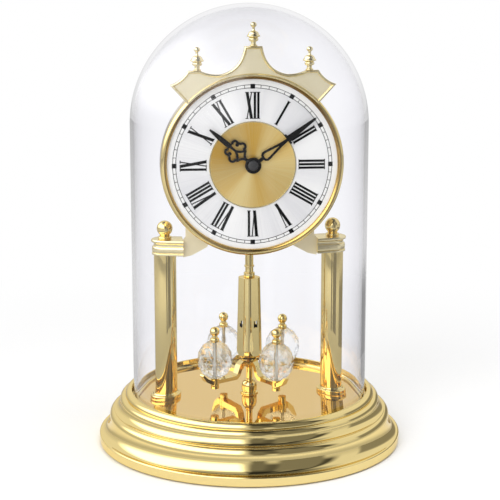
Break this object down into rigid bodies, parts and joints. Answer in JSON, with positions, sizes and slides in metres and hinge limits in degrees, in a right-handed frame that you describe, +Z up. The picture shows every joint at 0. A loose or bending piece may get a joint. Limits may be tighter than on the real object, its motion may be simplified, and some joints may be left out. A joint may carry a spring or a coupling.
{
  "type": "table clock",
  "caption": "Table clock with Roman numerals over a slowly turning pendulum of faceted crystal balls, on a moulded round brass base under a lift-off glass dome.",
  "frame": {"origin": "centre of the base, on the table", "axes": "+Z up the dome's axis, the dial faces -Y, +X to the right seen from the front"},
  "size_m": [0.16, 0.16, 0.23],
  "materials": {
    "polished_brass": "mirror polished, clear lacquer",
    "satin_brass": "finely brushed",
    "steel": "zinc plated",
    "dome_glass": "clear blown glass",
    "crystal_glass": "clear, cut in polished facets",
    "pin_steel": "bright",
    "felt": "felt",
    "seat_rubber": "matte",
    "dial_white": "silvery white, satin",
    "black_ink": "printed",
    "black_hands": "semi-gloss black",
    "black_plastic": "moulded",
    "white_plastic": "moulded",
    "copper_wire": "enamelled copper wire",
    "green_board": "lacquered",
    "battery_jacket": "printed jacket, left plain",
    "magnet_plating": "nickel plated"
  },
  "bodies": {
    "base": {"base_shell": "polished_brass", "deck_plate": "polished_brass", "guide_cup": "polished_brass", "column_left": "polished_brass", "column_right": "polished_brass", "column_flanges": "polished_brass", "bracket_left": "polished_brass", "bracket_right": "polished_brass", "ball_finial_left": "polished_brass", "ball_finial_right": "polished_brass", "case_ring": "polished_brass", "rear_can": "polished_brass", "bezel": "polished_brass", "fixing_nut": "polished_brass", "pediment_urns": "polished_brass", "pediment_pillars": "polished_brass", "mounting_plate": "satin_brass", "pediment": "satin_brass", "centre_disc": "satin_brass", "bottom_cover": "satin_brass", "cover_screws": "steel", "tie_rods": "steel", "base_nuts": "steel", "plate_screws": "steel", "case_screws": "steel", "battery_contacts": "steel", "stator": "steel", "foot_pads": "felt", "dome_seat": "seat_rubber", "dial": "dial_white", "dial_print": "black_ink", "housing_front": "black_plastic", "housing_rear": "black_plastic", "pendulum_drive": "black_plastic", "gear_block": "white_plastic", "drive_coil": "copper_wire", "pendulum_coil": "copper_wire", "circuit_board": "green_board"},
    "dome": {"glass_dome": "dome_glass"},
    "pendulum": {"pendulum_rod": "polished_brass", "tower": "polished_brass", "tower_foot": "polished_brass", "arm_cross": "polished_brass", "crystal_ball_1": "crystal_glass", "crystal_ball_2": "crystal_glass", "crystal_ball_3": "crystal_glass", "crystal_ball_4": "crystal_glass", "crystal_pins": "pin_steel", "crystal_knobs": "polished_brass", "crystal_stubs": "polished_brass", "drive_magnet": "magnet_plating", "pivot_pin": "steel"},
    "minute": {"minute_arbor": "steel", "minute_hand": "black_hands", "cap_nut": "black_hands"},
    "hour": {"hour_wheel": "polished_brass", "hour_hand": "black_hands"},
    "setting": {"setting_arbor": "steel", "setting_knob": "black_plastic"},
    "battery": {"battery": "battery_jacket"}
  },
  "joints": [
    {"name": "dome_lift", "type": "slide", "parent": "base", "child": "dome", "axis": [0, 0, 1], "range_m": [0, 0.21]},
    {"name": "pendulum_turn", "type": "hinge", "parent": "base", "child": "pendulum", "pos_m": [0, 0, 0.1], "axis": [0, 0, 1], "range_deg": [-135, 135]},
    {"name": "minute_spin", "type": "hinge", "parent": "base", "child": "minute", "pos_m": [0, -0.017, 0.1494], "axis": [0, 1, 0], "continuous": true},
    {"name": "hour_spin", "type": "hinge", "parent": "base", "child": "hour", "pos_m": [0, -0.017, 0.1494], "axis": [0, 1, 0], "continuous": true},
    {"name": "setting_spin", "type": "hinge", "parent": "base", "child": "setting", "pos_m": [0.01088, 0, 0.15447], "axis": [0, 1, 0], "continuous": true},
    {"name": "battery_out", "type": "slide", "parent": "base", "child": "battery", "axis": [0, 1, 0], "range_m": [0, 0.03]}
  ],
  "couplings": [
    {"joint": "hour_spin", "follows": "minute_spin", "ratio": 0.083333},
    {"joint": "setting_spin", "follows": "minute_spin", "ratio": -0.33333}
  ]
}
